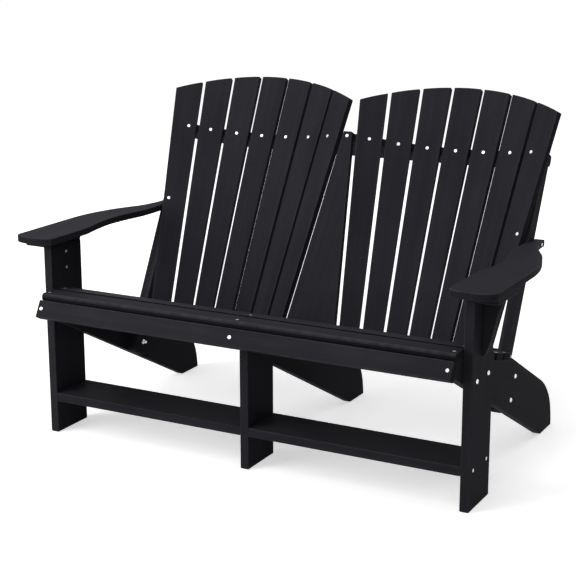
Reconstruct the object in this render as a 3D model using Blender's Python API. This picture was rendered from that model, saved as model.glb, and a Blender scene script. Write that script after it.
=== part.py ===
"""A two-seat slatted garden chair of plastic lumber, built board by board with its screws and bolts.

Metres, +Z up, +X to the sitter's left. The boards are placed from the legs' front faces (y = 0) and the floor
(z = 0), and the whole chair is centred on its own footprint at the end.
"""
import math

import bmesh
import bpy
from mathutils import Vector

# Stock
board_wide = 0.140
board_thick = 0.0247
slat_thick = 0.019
post_thick = 0.028
post_wide = 0.0465
edge_ease = 0.0015
fit_gap = 0.0003
cut_overrun = 0.004

# Legs and the boards between them
seat_wide = 1.2188
leg_tall = 0.5366
foot_board_top = 0.1173

# Side rails: boards that slope back to the floor, with the seat's curve cut in their upper edge
rail_slope = math.radians(27.8)
seat_bed = 0.401
rail_under_bed = 0.071
seat_crown_y = 0.015
seat_knee_y = 0.081
seat_knee_drop = 0.0123
seat_slope = math.radians(22.46)
seat_rear_slope = math.radians(14.7)
seat_step = 0.007
heel_before_floor = 0.0039
heel_past_floor = 0.0931
heel_shares = (
    (0.25, 0.90), (0.42, 0.81), (0.58, 0.71), (0.70, 0.62), (0.80, 0.52), (0.88, 0.41), (0.945, 0.27), (0.985, 0.12))

# Apron across the front ends of the rails
apron_tall = 0.049
apron_face_y = -0.071
apron_under_bed = 0.017
apron_drop = 0.0255

# Seat slats: how far each starts behind the last corner of the seat's curve, and its width
seat_front_y = -0.050
seat_slat_joint = 0.0095
seat_dip_joint = 0.005
seat_wide_slat = 0.0667
seat_rear_slat = 0.0510
seat_screw_set = 0.021
seat_nose_round = 0.0075

# The back: its lean, its foot point behind and below the seat, and the two fans of slats
back_lean = math.radians(27.1)
back_behind_seat = 0.0231
back_under_bed = 0.101
fan_count = 7
fan_shift = 0.0079
fan_ends_depth = -0.0090
fan_low_deeper = 0.0076
fan_turn = math.radians(7.437)
fan_low = 0.060
fan_high = 0.561
# Across the back, at those two levels: the outer slats' edges beyond the posts, and the gaps between slats
fan_over_low = -0.0455
fan_over_high = 0.0107
slat_gap_low = 0.0091
slat_gap_high = 0.0093
fan_top = 0.750
fan_arch = 0.607
wedge_gap_low = 0.0159
wedge_gap_high = 0.0151
wedge_proud_high = 0.0007

# Rails and posts behind the slats
upper_rail_level = 0.551
upper_rail_depth = 0.135
upper_rail_shares = (
    (1.0, 0.47), (0.992, 0.60), (0.972, 0.725), (0.91, 0.80), (0.84, 0.875), (0.785, 0.935), (0.735, 0.98),
    (0.69, 1.0))
low_rail_depth = 0.090
post_front = 0.009
post_foot = -0.150
post_bolt_depth = 0.036
post_bolt_low = -0.113
post_bolt_high = -0.048
arm_screw_over = 0.0183
arm_screw_inside = 0.0301
end_screw_share = 0.387
inner_screw_share = 0.166
rail_screw_share = 0.45

# Arms, the plates under them and the gussets that carry them
arm_wide = 0.125
arm_front = -0.050
arm_past = 0.0055
arm_notch = 0.0081
plate_wide = 0.0845
plate_thick = 0.0178
gusset_wide = 0.0495
gusset_tall = 0.146
tongue_share = 0.292
arm_outer_shares = (
    (0.944, 0.024), (1.0, 0.041), (1.0, 0.175), (1.0, 0.421), (0.996, 0.461), (0.976, 0.510), (0.94, 0.560),
    (0.892, 0.604), (0.832, 0.647), (0.772, 0.684), (0.704, 0.720), (0.616, 0.755), (0.528, 0.790),
    (0.44, 0.822), (0.364, 0.866), (0.312, 0.919), (tongue_share, 0.957), (tongue_share, 1.0))
arm_inner_shares = (
    (0.0, 0.811), (0.004, 0.779), (0.02, 0.731), (0.056, 0.692), (0.096, 0.652), (0.132, 0.604), (0.156, 0.556),
    (0.172, 0.517), (0.164, 0.477), (0.136, 0.436), (0.108, 0.389), (0.056, 0.334), (0.016, 0.294), (0.008, 0.25),
    (0.008, 0.045), (0.048, 0.022), (0.168, 0.008), (0.392, 0.0), (0.632, 0.0), (0.832, 0.0095))
gusset_shares = (
    (0.0, 1.0), (1.0, 1.0), (0.96, 0.954), (0.91, 0.886), (0.80, 0.775), (0.714, 0.664), (0.628, 0.54), (0.56, 0.443),
    (0.49, 0.346), (0.42, 0.25), (0.31, 0.14), (0.15, 0.0), (0.0, 0.0))

# Cleat that splices the middle leg to the middle rail
cleat_front = 0.047
cleat_wide = 0.088
cleat_drop = 0.140
cleat_tall = 0.150

# Fasteners: flat-headed screws, and round-headed bolts with nuts
round_sides = 8
screw_head = 0.004
screw_lip = 0.0008
screw_cone = 0.0031
screw_shank = 0.0021
slat_screw_long = 0.041
frame_screw_long = 0.054
tongue_screw_long = 0.045
plate_screw_long = 0.031
bolt_head = 0.0058
bolt_head_tall = 0.0036
bolt_shank = 0.0038
bolt_spare = 0.0035
post_bolt_spare = 0.0095
nut_half = 0.0068
nut_tall = 0.0055
bolt_dome_share = 0.62
bolt_lip_share = 0.45
leg_bolt_under_bed = 0.068
leg_bolt_front_y = 0.030
leg_bolt_rear_y = 0.108
foot_screw_set = 0.024
toe_screw_long = 0.038
gusset_screw_high = 0.021
gusset_screw_apart = 0.0465
gusset_screw_long = 0.046
plate_screw_shares = (0.2, 0.8)
plate_arm_share = 0.7
plate_gusset_share = 0.72
tongue_screw_share = 0.68
cleat_screw_shares = (0.22, 0.78)
cleat_leg_share = 0.17
cleat_rail_share = 0.80
cleat_bite_share = 0.8
toe_spread_share = 0.45
toe_reach_share = 0.7
post_top_shares = (0.25, 0.75)
post_side_shares = (0.30, 0.78)
low_rail_screw_share = 0.68

# Share of a face angle above which an edge is eased
sharp_angle = math.radians(38)

board_tone = (0.035, 0.038, 0.043, 1)
steel_tone = (0.62, 0.62, 0.60, 1)

leg_inner = seat_wide / 2
leg_outer = leg_inner + board_thick
gusset_front = (board_wide - board_thick) / 2
rail_outer = leg_inner - fit_gap
rail_inner = rail_outer - board_thick
rail_middle = (rail_outer + rail_inner) / 2
post_outer = rail_inner - fit_gap
post_inner = post_outer - post_thick
middle_half = board_thick / 2
plate_foot = leg_tall + fit_gap
arm_foot = plate_foot + plate_thick + fit_gap
rail_height = seat_bed - rail_under_bed
apron_face_z = seat_bed - apron_under_bed
leg_bolt_z = seat_bed - leg_bolt_under_bed
cleat_foot = rail_height - cleat_drop
# The seat's curve: a flat, a slope as long as two slats, and a shallower slope for two more
seat_knee_z = seat_bed - seat_knee_drop
slope_run = 2 * seat_wide_slat + 3 * seat_slat_joint + fit_gap
seat_dip_y = seat_knee_y + slope_run * math.cos(seat_slope)
seat_dip_z = seat_knee_z - slope_run * math.sin(seat_slope)
rear_run = seat_dip_joint + 2 * (seat_rear_slat + seat_slat_joint)
seat_rear_y = seat_dip_y + rear_run * math.cos(seat_rear_slope)
seat_rear_z = seat_dip_z - rear_run * math.sin(seat_rear_slope)
rail_floor_y = rail_height / math.tan(rail_slope)
heel_start = rail_floor_y - heel_before_floor
heel_end = rail_floor_y + heel_past_floor
back_foot_y = seat_rear_y + back_behind_seat
back_foot_z = seat_bed - back_under_bed
lean_sin = math.sin(back_lean)
lean_cos = math.cos(back_lean)
slope_sin = math.sin(rail_slope)
slope_cos = math.cos(rail_slope)
arm_level_screw = (arm_foot + slat_thick + arm_screw_over - back_foot_z) / lean_cos
fan_middle = leg_inner / 2 + fan_shift
fan_last = fan_turn * (fan_count - 1) / 2


def fan_radius_for(over, gap):
    """Radius at which the last slat's outer edge stands this far beyond the post, with this gap between slats."""
    reach = post_outer + over - fan_middle + gap / 2 * math.cos(fan_last)
    return reach / (math.sin(fan_last) + math.tan(fan_turn / 2) * math.cos(fan_last))


fan_radius_low = fan_radius_for(fan_over_low, slat_gap_low)
fan_radius_high = fan_radius_for(fan_over_high, slat_gap_high)
fan_depth = fan_ends_depth + fan_radius_high * (1 - math.cos(fan_last))
slat_half_low = fan_radius_low * math.tan(fan_turn / 2) - slat_gap_low / 2
slat_half_high = fan_radius_high * math.tan(fan_turn / 2) - slat_gap_high / 2

cuts = {}


def under_rail(y):
    """Height of the rails' lower edge."""
    return rail_height - y * slope_sin / slope_cos


def over_rail(y):
    """Height of the rails' upper edge, where the seat's curve isn't cut."""
    return under_rail(y) + board_wide / slope_cos


def back_point(x, level, depth):
    """Point on the back: level runs up along its lean, depth goes in behind it."""
    y = back_foot_y + level * lean_sin + depth * lean_cos
    z = back_foot_z + level * lean_cos - depth * lean_sin
    return Vector((x, y, z))


def back_way(across, depth, level=0):
    """Direction on the back, in the same three measures."""
    return Vector((across, level * lean_sin + depth * lean_cos, level * lean_cos - depth * lean_sin))


def grown(low, high, level):
    """Value that runs straight from low to high between the fans' two measured levels."""
    return low + (high - low) * (level - fan_low) / (fan_high - fan_low)


def rail_seat_level(depth):
    """Level at which a point this deep in the back lies just over the rails' upper edge."""
    foot = back_point(0, 0, depth)
    rail_line = slope_cos * over_rail(0)
    start = slope_sin * foot.y + slope_cos * foot.z
    return (rail_line + fit_gap - start) / (slope_sin * lean_sin + slope_cos * lean_cos)


def solid(rings):
    """Closed body through outlines of equal count, capped at both ends."""
    body = bmesh.new()
    loops = []
    for ring in rings:
        loops.append([body.verts.new(point) for point in ring])
    body.faces.new(loops[0])
    body.faces.new(loops[-1])
    for near, far in zip(loops, loops[1:]):
        for step in range(len(near)):
            after = (step + 1) % len(near)
            body.faces.new((near[step], near[after], far[after], far[step]))
    bmesh.ops.recalc_face_normals(body, faces=body.faces[:])
    return body


def eased(body):
    """Takes the sharp outer edges off a board."""
    sharp = [edge for edge in body.edges if edge.is_convex and edge.calc_face_angle(0) > sharp_angle]
    bmesh.ops.bevel(body, geom=sharp, offset=edge_ease, segments=1, affect="EDGES", clamp_overlap=True)
    return body


def painted(name, tone, roughness, metallic):
    paint = bpy.data.materials.new(name)
    paint.use_nodes = True
    shader = paint.node_tree.nodes["Principled BSDF"]
    shader.inputs["Base Color"].default_value = tone
    shader.inputs["Roughness"].default_value = roughness
    shader.inputs["Metallic"].default_value = metallic
    return paint


def placed(name, body, tone=board_tone, roughness=0.5, metallic=0.0):
    mesh = bpy.data.meshes.new(name)
    body.to_mesh(mesh)
    body.free()
    piece = bpy.data.objects.new(name, mesh)
    piece.data.materials.append(painted(name, tone, roughness, metallic))
    bpy.context.scene.collection.objects.link(piece)
    return piece


def board(name, near, far):
    """Board between two outlines of points, with eased edges."""
    return placed(name, eased(solid([near, far])))


def side_board(name, outline, x_from, x_to):
    """Board cut to an outline of (y, z) and set on edge."""
    near = [(x_from, y, z) for y, z in outline]
    far = [(x_to, y, z) for y, z in outline]
    return board(name, near, far)


def flat_board(name, outline, z_from, z_to):
    """Board cut to an outline of (x, y) and laid flat."""
    near = [(x, y, z_from) for x, y in outline]
    far = [(x, y, z_to) for x, y in outline]
    return board(name, near, far)


def rectangle(u_from, u_to, v_from, v_to):
    return [(u_from, v_from), (u_to, v_from), (u_to, v_to), (u_from, v_to)]


def turned(body, profile, point, way):
    """Adds a round body to a mesh: rings of (radius, distance along the way)."""
    axis = way.normalized()
    first = axis.orthogonal().normalized()
    second = axis.cross(first)
    rings = []
    for radius, along in profile:
        ring = []
        for side in range(round_sides):
            turn = 2 * math.pi * side / round_sides
            arm = first * math.cos(turn) + second * math.sin(turn)
            ring.append(body.verts.new(point + axis * along + arm * radius))
        rings.append(ring)
    body.faces.new(reversed(rings[0]))
    body.faces.new(rings[-1])
    for near, far in zip(rings, rings[1:]):
        for side in range(round_sides):
            after = (side + 1) % round_sides
            body.faces.new((near[side], near[after], far[after], far[side]))


def nut_ring(body, point, way):
    """Adds a nut: a ring round a bolt's shank."""
    axis = way.normalized()
    first = axis.orthogonal().normalized()
    second = axis.cross(first)
    hole = bolt_shank + fit_gap
    rings = []
    for radius, along in ((hole, 0), (hole, nut_tall), (nut_half, nut_tall), (nut_half, 0)):
        ring = []
        for side in range(round_sides):
            turn = 2 * math.pi * side / round_sides
            arm = first * math.cos(turn) + second * math.sin(turn)
            ring.append(body.verts.new(point + axis * along + arm * radius))
        rings.append(ring)
    for near, far in zip(rings, rings[1:] + rings[:1]):
        for side in range(round_sides):
            after = (side + 1) % round_sides
            body.faces.new((near[side], near[after], far[after], far[side]))


def fastener(name, body):
    bmesh.ops.recalc_face_normals(body, faces=body.faces[:])
    placed(name, body, steel_tone, 0.3, 1.0)


def drive(boards, point, way, length, name=None):
    """Hole for a flat-headed screw, its head flush in the first board; a named screw is made as a piece too."""
    head = screw_head + fit_gap
    shank = screw_shank + fit_gap
    hole = ((head, -cut_overrun), (head, screw_lip), (shank, screw_cone), (shank, length + fit_gap))
    for target in boards:
        cuts.setdefault(target, []).append((hole, point, way))
    if name:
        body = bmesh.new()
        profile = ((screw_head, 0), (screw_head, screw_lip), (screw_shank, screw_cone), (screw_shank, length))
        turned(body, profile, point, way)
        fastener(name, body)


def bolt(name, boards, point, way, grip, spare=bolt_spare):
    """Round-headed bolt through boards of this grip, with a nut on its far end."""
    profile = (
        (bolt_head * bolt_dome_share, -bolt_head_tall), (bolt_head, -bolt_head_tall * bolt_lip_share),
        (bolt_head, -fit_gap), (bolt_shank, -fit_gap), (bolt_shank, grip + nut_tall + spare))
    shank = bolt_shank + fit_gap
    hole = ((shank, -cut_overrun), (shank, grip + cut_overrun))
    for target in boards:
        cuts.setdefault(target, []).append((hole, point, way))
    body = bmesh.new()
    turned(body, profile, point, way)
    fastener(name + "_bolt", body)
    body = bmesh.new()
    nut_ring(body, point + way * (grip + fit_gap), way)
    fastener(name + "_nut", body)


def make_legs():
    upright = rectangle(0, board_wide, 0, leg_tall)
    side_board("left_leg", upright, -leg_outer, -leg_inner)
    side_board("right_leg", upright, leg_inner, leg_outer)
    # The middle leg is mitred to stand under the middle rail
    front = under_rail(0) - fit_gap / slope_cos
    rear = under_rail(board_wide) - fit_gap / slope_cos
    short = [(0, 0), (board_wide, 0), (board_wide, rear), (0, front)]
    side_board("centre_leg", short, -middle_half, middle_half)


def rail_outline():
    reach = board_thick + fit_gap
    nose_y = apron_face_y + reach * slope_cos
    nose_z = apron_face_z - reach * slope_sin
    # The nose is square to the lower edge: slide down and up its line to that edge and to the seat's level
    down = (nose_z - under_rail(nose_y)) * slope_cos
    up = (seat_bed - nose_z) / slope_cos
    outline = [(nose_y - down * slope_sin, nose_z - down * slope_cos)]
    outline.append((nose_y + up * slope_sin, seat_bed))
    outline.append((seat_crown_y, seat_bed))
    outline.append((seat_knee_y, seat_knee_z))
    outline.append((seat_dip_y, seat_dip_z))
    outline.append((seat_rear_y, seat_rear_z))
    outline.append((seat_rear_y + seat_step, over_rail(seat_rear_y + seat_step)))
    outline.append((heel_start, over_rail(heel_start)))
    for back, drop in heel_shares:
        y = heel_start + (heel_end - heel_start) * back
        outline.append((y, over_rail(heel_start) * drop))
    outline.append((heel_end, 0))
    outline.append((rail_floor_y, 0))
    return outline


def make_side_rails():
    outline = rail_outline()
    side_board("left_side_rail", outline, -rail_outer, -rail_inner)
    side_board("right_side_rail", outline, rail_inner, rail_outer)
    side_board("centre_side_rail", outline, -middle_half, middle_half)
    for side, name in ((-1, "left"), (1, "right")):
        for y, place in ((leg_bolt_front_y, "front"), (leg_bolt_rear_y, "rear")):
            point = Vector((side * leg_outer, y, leg_bolt_z))
            boards = (name + "_leg", name + "_side_rail")
            bolt("%s_leg_%s" % (name, place), boards, point, Vector((-side, 0, 0)), leg_outer - rail_inner)


def make_cleat():
    face = -middle_half - fit_gap
    outer = face - slat_thick
    outline = rectangle(cleat_front, cleat_front + cleat_wide, cleat_foot, cleat_foot + cleat_tall)
    side_board("centre_leg_cleat", outline, outer, face)
    bite = slat_thick + board_thick * cleat_bite_share
    for across in cleat_screw_shares:
        y = cleat_front + cleat_wide * across
        for up, target in ((cleat_leg_share, "centre_leg"), (cleat_rail_share, "centre_side_rail")):
            point = Vector((outer, y, cleat_foot + cleat_tall * up))
            drive(("centre_leg_cleat", target), point, Vector((1, 0, 0)), bite)


def make_foot_boards():
    low = foot_board_top - board_thick
    middle = foot_board_top - board_thick / 2
    inner = middle_half + fit_gap
    outer = leg_inner - fit_gap
    outline = rectangle(0, board_wide, low, foot_board_top)
    side_board("left_foot_board", outline, -outer, -inner)
    side_board("right_foot_board", outline, inner, outer)
    for side, name in ((-1, "left"), (1, "right")):
        for y in (foot_screw_set, board_wide - foot_screw_set):
            point = Vector((side * leg_outer, y, middle))
            boards = (name + "_leg", name + "_foot_board")
            drive(boards, point, Vector((-side, 0, 0)), frame_screw_long)
            # Toe screws rise into the middle leg, those of one board between those of the other
            inset = (1 + side * toe_spread_share) * foot_screw_set
            y = inset if y < board_wide / 2 else board_wide - inset
            point = Vector((side * (inner + board_thick * toe_reach_share), y, low))
            drive((name + "_foot_board", "centre_leg"), point, Vector((-side, 0, 1)), toe_screw_long)


def make_apron():
    bottom = Vector((0, apron_face_y - apron_drop * slope_sin, apron_face_z - apron_drop * slope_cos))
    rise = Vector((0, slope_sin, slope_cos))
    inward = Vector((0, slope_cos, -slope_sin)) * board_thick
    # The top is planed level behind the seat's front edge, so that the first slat lies close on it
    low = bottom + inward
    top = bottom + rise * apron_tall
    rear = low + rise * ((seat_bed - low.z) / slope_cos)
    section = [bottom, top, Vector((0, seat_front_y - fit_gap, seat_bed)), rear, low]
    near = [point + Vector((-rail_outer, 0, 0)) for point in section]
    far = [point + Vector((rail_outer, 0, 0)) for point in section]
    board("front_apron", near, far)
    for x, name in ((-rail_middle, "left"), (0, "centre"), (rail_middle, "right")):
        point = Vector((x, apron_face_y, apron_face_z))
        drive(("front_apron", name + "_side_rail"), point, inward.normalized(), slat_screw_long)


def rounded_nose(body):
    """Rounds the long edge at the front of a slat's upper face."""
    foremost = min(body.edges, key=lambda edge: sum(vertex.co.y - vertex.co.z for vertex in edge.verts))
    bmesh.ops.bevel(body, geom=[foremost], offset=seat_nose_round, segments=2, profile=0.5, affect="EDGES")
    return body


def seat_slat(number, corner, to_corner, start, wide, screw_at):
    """Slat that lies on one straight stretch of the seat's curve."""
    name = "seat_slat_%d" % number
    origin = Vector((0,) + corner)
    run = (Vector((0,) + to_corner) - origin).normalized()
    rise = Vector((0, -run.z, run.y))
    front = origin + run * start + rise * fit_gap
    section = [front, front + run * wide, front + run * wide + rise * slat_thick, front + rise * slat_thick]
    near = [point + Vector((-rail_outer, 0, 0)) for point in section]
    far = [point + Vector((rail_outer, 0, 0)) for point in section]
    body = solid([near, far])
    if number == 1:
        rounded_nose(body)
    placed(name, eased(body))
    head = front + run * screw_at + rise * slat_thick
    for x, side in ((-rail_middle, "left"), (0, "centre"), (rail_middle, "right")):
        drive((name, side + "_side_rail"), head + Vector((x, 0, 0)), -rise, slat_screw_long)


def make_seat():
    crown = (seat_crown_y, seat_bed)
    knee = (seat_knee_y, seat_knee_z)
    dip = (seat_dip_y, seat_dip_z)
    rear = (seat_rear_y, seat_rear_z)
    first_wide = seat_crown_y - seat_slat_joint - seat_front_y
    seat_slat(1, (seat_front_y, seat_bed), crown, 0, first_wide, seat_screw_set)
    second_wide = math.dist(crown, knee) - fit_gap
    seat_slat(2, crown, knee, 0, second_wide, seat_screw_set)
    slope_step = seat_wide_slat + seat_slat_joint
    seat_slat(3, knee, dip, seat_slat_joint, seat_wide_slat, seat_wide_slat / 2)
    seat_slat(4, knee, dip, seat_slat_joint + slope_step, seat_wide_slat, seat_wide_slat / 2)
    rear_step = seat_rear_slat + seat_slat_joint
    seat_slat(5, dip, rear, seat_dip_joint, seat_rear_slat, seat_rear_slat / 2)
    seat_slat(6, dip, rear, seat_dip_joint + rear_step, seat_rear_slat, seat_rear_slat / 2)


def fan_round(level):
    """Radius of a fan at one level, and the depth of the axis that its slats stand round."""
    radius = grown(fan_radius_low, fan_radius_high, level)
    return radius, fan_depth + grown(fan_low_deeper, 0, level) - radius


def fan_place(side, turn, level, across=0.0, behind=0.0):
    """Across and depth on the back of a point of a slat, which stands turned round its fan's axis."""
    radius, axis_depth = fan_round(level)
    half = grown(slat_half_low, slat_half_high, level)
    x = side * fan_middle + (radius + behind) * math.sin(turn) + across * half * math.cos(turn)
    depth = axis_depth + (radius + behind) * math.cos(turn) - across * half * math.sin(turn)
    return x, depth


def arch_level(side, turn, across):
    """Level of the fan's arched top, at one place across a slat."""
    level = fan_top
    for attempt in range(6):
        off = fan_place(side, turn, level, across)[0] - side * fan_middle
        level = fan_top - fan_arch + math.sqrt(fan_arch ** 2 - off ** 2)
    return level


def slat_outline(side, turn, foot, behind):
    corners = []
    for across in (-1, 1):
        x, depth = fan_place(side, turn, foot, across, behind)
        corners.append(back_point(x, foot, depth))
    for across in (1, 0.5, 0, -0.5, -1):
        level = arch_level(side, turn, across)
        x, depth = fan_place(side, turn, level, across, behind)
        corners.append(back_point(x, level, depth))
    return corners


def low_rail_foot():
    """Level of the lower back rail's underside, which rests on the side rails' upper edges."""
    return rail_seat_level(wedge_place(0)[1] + slat_thick)


def wedge_place(level):
    """Half width and depth of the wedge, which stands a gap away from the fans' inner edges."""
    inner, depth = fan_place(1, -fan_last, level, -1)
    half = inner - grown(wedge_gap_low, wedge_gap_high, level)
    return half, depth - grown(0, wedge_proud_high, level)


def fan_turns():
    middle = (fan_count - 1) / 2
    return [(step - middle) * fan_turn for step in range(fan_count)]


def fix_slat(name, side, turn, level, across, rail):
    """Screw through a slat into a rail, at one share of its half width across."""
    x, depth = fan_place(side, turn, level, across)
    way = back_way(math.sin(turn), math.cos(turn))
    drive((name, rail), back_point(x, level, depth), way, slat_screw_long)


def screw_share(side, turn):
    """The end slats' screws stand nearer their fan's middle, except on the right fan's innermost slat."""
    if abs(turn) < fan_last - fan_turn / 2:
        return 0
    if turn * side > 0:
        return -math.copysign(end_screw_share, turn)
    return -inner_screw_share if side < 0 else 0


def make_back_slats():
    foot = low_rail_foot()
    number = 0
    for side in (-1, 1):
        for turn in fan_turns():
            number += 1
            name = "back_slat_%02d" % number
            board(name, slat_outline(side, turn, foot, 0), slat_outline(side, turn, foot, slat_thick))
            across = screw_share(side, turn)
            fix_slat(name, side, turn, upper_rail_level + board_thick * rail_screw_share, across, "upper_back_rail")
            fix_slat(name, side, turn, foot + board_thick / 2, across, "lower_back_rail")
            if number in (1, 2 * fan_count):
                half = grown(slat_half_low, slat_half_high, arm_level_screw)
                centre = fan_place(side, turn, arm_level_screw)[0]
                off = (side * (post_outer - arm_screw_inside) - centre) / math.cos(turn)
                x, depth = fan_place(side, turn, arm_level_screw, off / half)
                post = "left_back_post" if side < 0 else "right_back_post"
                way = back_way(math.sin(turn), math.cos(turn))
                drive((name, post), back_point(x, arm_level_screw, depth), way, slat_screw_long)


def make_wedge():
    foot = low_rail_foot()
    top = upper_rail_level + board_thick
    rings = []
    for behind in (0, slat_thick):
        ring = []
        for level, order in ((foot, (-1, 1)), (top, (1, -1))):
            half, depth = wedge_place(level)
            ring += [back_point(across * half, level, depth + behind) for across in order]
        rings.append(ring)
    board("centre_wedge_slat", rings[0], rings[1])
    high = upper_rail_level + board_thick * rail_screw_share
    for level, rail in ((foot + board_thick / 2, "lower_back_rail"), (high, "upper_back_rail")):
        half, depth = wedge_place(level)
        drive(("centre_wedge_slat", rail), back_point(0, level, depth), back_way(0, 1), slat_screw_long)


def scalloped_edge(level):
    """Front edge of a back rail at one level, from the middle out: a flat behind the wedge, then one per slat."""
    seat = slat_thick + fit_gap
    half, depth = wedge_place(level)
    turns = fan_turns()
    inner_x, inner_depth = fan_place(1, turns[0], level, -1, seat)
    edge = [(0, depth + seat)]
    edge.append((inner_x - slat_gap_high / 2, depth + seat))
    edge.append((inner_x, inner_depth))
    radius, axis_depth = fan_round(level)
    for turn in turns[:-1]:
        corner = turn + fan_turn / 2
        reach = (radius + seat) / math.cos(fan_turn / 2)
        edge.append((fan_middle + reach * math.sin(corner), axis_depth + reach * math.cos(corner)))
    return edge


def slat_back_at(level, x):
    """Depth of the outermost slat's back face at one distance across."""
    turn = fan_turns()[-1]
    radius, axis_depth = fan_round(level)
    seat = radius + slat_thick + fit_gap
    return axis_depth + (seat - (x - fan_middle) * math.sin(turn)) / math.cos(turn)


def mirrored(edge):
    """Outline that runs from one end to the other through the middle."""
    left = [(-x, depth) for x, depth in reversed(edge[1:])]
    return left + edge[1:]


def make_upper_rail():
    rings = []
    for level in (upper_rail_level, upper_rail_level + board_thick):
        front = scalloped_edge(level)
        front.append((post_outer, slat_back_at(level, post_outer)))
        outline = mirrored(front)
        outline += [(post_outer * out, upper_rail_depth * deep) for out, deep in upper_rail_shares]
        outline += [(-post_outer * out, upper_rail_depth * deep) for out, deep in reversed(upper_rail_shares)]
        rings.append([back_point(x, level, depth) for x, depth in outline])
    board("upper_back_rail", rings[0], rings[1])
    for side, name in ((-1, "left_back_post"), (1, "right_back_post")):
        for share in post_top_shares:
            x = side * (post_inner + post_outer) / 2
            point = back_point(x, upper_rail_level + board_thick, post_front + post_wide * share)
            drive(("upper_back_rail", name), point, back_way(0, 0, -1), frame_screw_long)


def make_low_rail():
    foot = low_rail_foot()
    end = post_inner - fit_gap
    rings = []
    for level in (foot, foot + board_thick):
        front = scalloped_edge(level)
        x, depth = fan_place(1, fan_turns()[-1], level, 1, slat_thick + fit_gap)
        front.append((x, depth))
        front.append((end, depth))
        outline = mirrored(front)
        outline += [(end, low_rail_depth), (-end, low_rail_depth)]
        rings.append([back_point(x, level, depth) for x, depth in outline])
    board("lower_back_rail", rings[0], rings[1])
    level = foot + board_thick / 2
    for side, name in ((-1, "left_back_post"), (1, "right_back_post")):
        for share in post_side_shares:
            point = back_point(side * post_outer, level, post_front + post_wide * share)
            drive((name, "lower_back_rail"), point, Vector((-side, 0, 0)), frame_screw_long)
    point = back_point(0, foot + board_thick, low_rail_depth * low_rail_screw_share)
    drive(("lower_back_rail", "centre_side_rail"), point, back_way(0, 0, -1), frame_screw_long)


def make_posts():
    top = upper_rail_level - fit_gap
    rear = post_front + post_wide
    for side, name in ((-1, "left_back_post"), (1, "right_back_post")):
        rings = []
        for level in (post_foot, low_rail_foot(), arm_level_screw, top):
            # The front is planed off where the last slat lies on it
            ring = []
            for x in (post_outer, (post_outer + post_inner) / 2, post_inner):
                ring.append((x, max(post_front, slat_back_at(level, x))))
            ring += [(post_inner, rear), (post_outer, rear)]
            rings.append([back_point(side * x, level, depth) for x, depth in ring])
        placed(name, eased(solid(rings)))
        for level, place in ((post_bolt_low, "lower"), (post_bolt_high, "upper")):
            point = back_point(side * rail_outer, level, post_bolt_depth)
            boards = (name.replace("back_post", "side_rail"), name)
            grip = rail_outer - post_inner
            bolt(name.replace("back_post", "post_" + place), boards, point, Vector((-side, 0, 0)), grip, post_bolt_spare)


def post_y(depth, height):
    """Distance back of a point in the posts, at one height above the floor."""
    return back_foot_y + (height - back_foot_z) * lean_sin / lean_cos + depth / lean_cos


def arm_outline():
    """Outline of the right arm, whose tongue runs along the outside of the post."""
    inner = post_outer - arm_notch
    tongue = post_outer + fit_gap
    end = post_y(post_front + post_wide, arm_foot + slat_thick / 2) + arm_past
    step = post_y(post_front, arm_foot) - fit_gap / lean_cos
    outline = [(inner + arm_wide * u, arm_front + (end - arm_front) * v) for u, v in arm_outer_shares]
    outline += [(tongue, end), (tongue, step), (inner, step)]
    outline += [(inner + arm_wide * u, arm_front + (end - arm_front) * v) for u, v in arm_inner_shares]
    return outline


def make_arms():
    for side, name in ((-1, "left"), (1, "right")):
        outline = [(side * x, y) for x, y in arm_outline()]
        flat_board(name + "_arm", outline, arm_foot, arm_foot + slat_thick)
        x_from, x_to = sorted((side * leg_inner, side * (leg_inner + plate_wide)))
        flat_board(name + "_arm_plate", rectangle(x_from, x_to, 0, board_wide), plate_foot, plate_foot + plate_thick)
        face = leg_outer + fit_gap
        profile = [(side * (face + gusset_wide * u), leg_tall - gusset_tall * (1 - v)) for u, v in gusset_shares]
        near = [(x, gusset_front, z) for x, z in profile]
        far = [(x, gusset_front + board_thick, z) for x, z in profile]
        board(name + "_arm_gusset", near, far)
        fix_arm(side, name)


def fix_arm(side, name):
    gusset_y = gusset_front + board_thick / 2
    down = Vector((0, 0, -1))
    for drop in (gusset_screw_high, gusset_screw_high + gusset_screw_apart):
        point = Vector((side * leg_inner, gusset_y, leg_tall - drop))
        drive((name + "_leg", name + "_arm_gusset"), point, Vector((side, 0, 0)), gusset_screw_long)
    plate_top = plate_foot + plate_thick
    leg_middle = leg_inner + board_thick / 2
    for share in plate_screw_shares:
        point = Vector((side * leg_middle, board_wide * share, plate_top))
        drive((name + "_arm_plate", name + "_leg"), point, down, frame_screw_long)
        point = Vector((side * (leg_inner + plate_wide * plate_arm_share), board_wide * share, plate_foot))
        drive((name + "_arm_plate", name + "_arm"), point, -down, plate_screw_long)
    # This one is short, and stands outside the two that come through the leg
    point = Vector((side * (leg_inner + plate_wide * plate_gusset_share), gusset_y, plate_top))
    drive((name + "_arm_plate", name + "_arm_gusset"), point, down, plate_screw_long)
    tongue = post_outer - arm_notch + arm_wide * tongue_share
    middle = arm_foot + slat_thick / 2
    point = Vector((side * tongue, post_y(post_front + post_wide * tongue_screw_share, middle), middle))
    boards = (name + "_arm", name + "_back_post")
    drive(boards, point, Vector((-side, 0, 0)), tongue_screw_long, name + "_arm_screw")


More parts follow.
